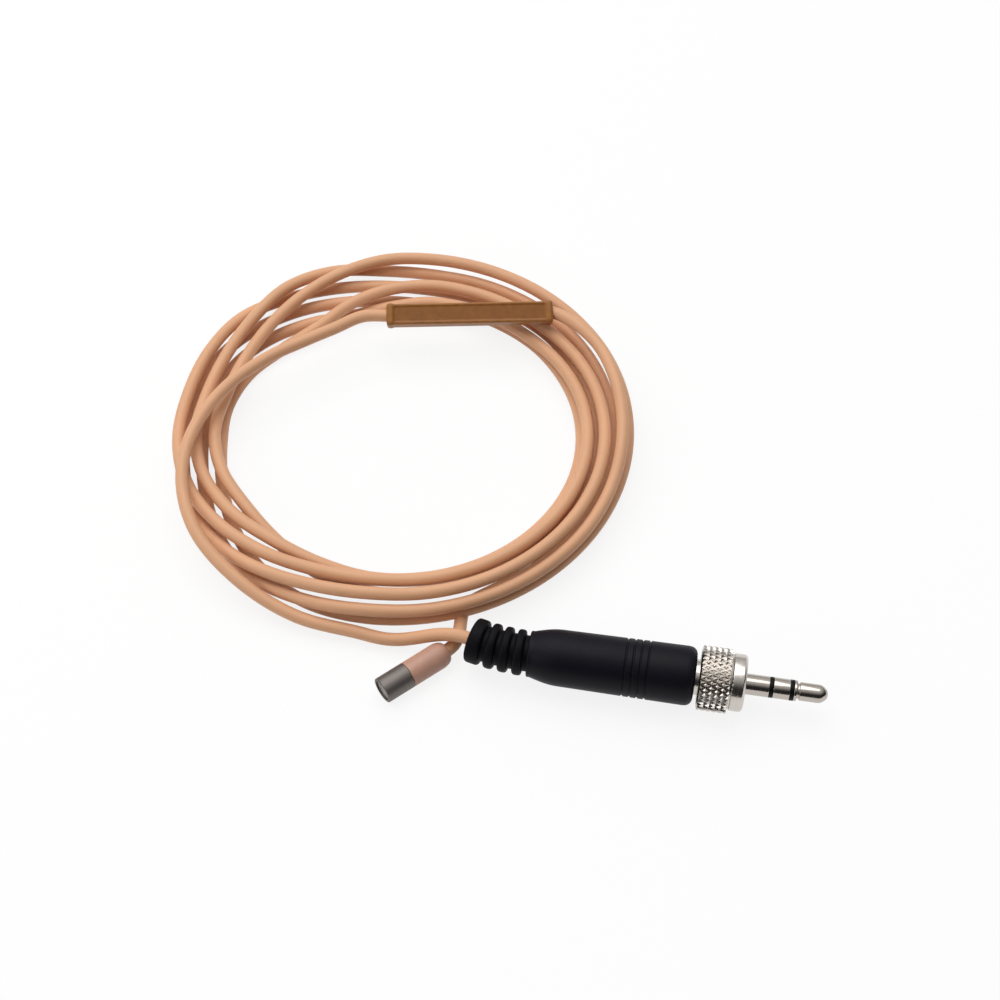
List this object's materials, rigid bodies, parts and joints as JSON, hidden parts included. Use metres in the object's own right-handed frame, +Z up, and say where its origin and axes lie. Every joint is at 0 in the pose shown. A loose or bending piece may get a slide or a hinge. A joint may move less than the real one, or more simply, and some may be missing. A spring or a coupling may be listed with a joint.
{
  "type": "miniature headset microphone with cable",
  "caption": "Miniature beige microphone head with a pull-off metal cap, a loosely coiled thin cable with a moulded tag, and a straight screw-locking jack plug with a captive knurled nut.",
  "frame": {"origin": "on the table, under the middle of the microphone head's box", "axes": "+X along the plug's pin towards its tip, +Z up from the table that everything lies on"},
  "size_m": [0.1221, 0.0986, 0.011],
  "materials": {
    "cap_metal": "satin grey metal",
    "screen_metal": "fine woven screen",
    "housing_plastic": "satin moulded skin tone",
    "capsule_metal": "drawn can",
    "contact_brass": "plain",
    "board_green": "solder mask",
    "core_red": "core insulation",
    "cable_beige": "satin extruded jacket",
    "tag_brown": "soft moulded",
    "plug_black": "matte moulded",
    "nickel": "bright nickel plate",
    "insulator_black": "moulded collar"
  },
  "bodies": {
    "microphone": {"mic_housing": "housing_plastic", "capsule_can": "capsule_metal", "diaphragm": "contact_brass", "diaphragm_ring": "contact_brass", "back_plate": "contact_brass", "capsule_board": "board_green", "mic_cores": "core_red", "mic_cable_end": "cable_beige", "mic_tail": "cable_beige", "coil": "cable_beige", "cable_tag": "tag_brown", "plug_tail": "cable_beige", "plug_relief": "plug_black", "plug_body": "plug_black", "plug_cable_end": "cable_beige", "crimp_ferrule": "contact_brass", "plug_cores": "core_red", "shield_shell": "contact_brass", "neck": "nickel", "pin_sleeve": "nickel", "sleeve_insulator": "insulator_black", "pin_ring": "nickel", "ring_insulator": "insulator_black", "pin_tip": "nickel", "ring_terminal": "contact_brass", "tip_terminal": "contact_brass"},
    "cap": {"mic_cap": "cap_metal", "cap_screen": "screen_metal"},
    "nut": {"lock_nut": "nickel"}
  },
  "joints": [
    {"name": "cap_pull", "type": "slide", "parent": "microphone", "child": "cap", "axis": [-0.7071, -0.7071, 0], "range_m": [0, 0.006]},
    {"name": "nut_spin", "type": "hinge", "parent": "microphone", "child": "nut", "pos_m": [0.052, 0.0048, 0.0054], "axis": [1, 0, 0], "continuous": true}
  ]
}
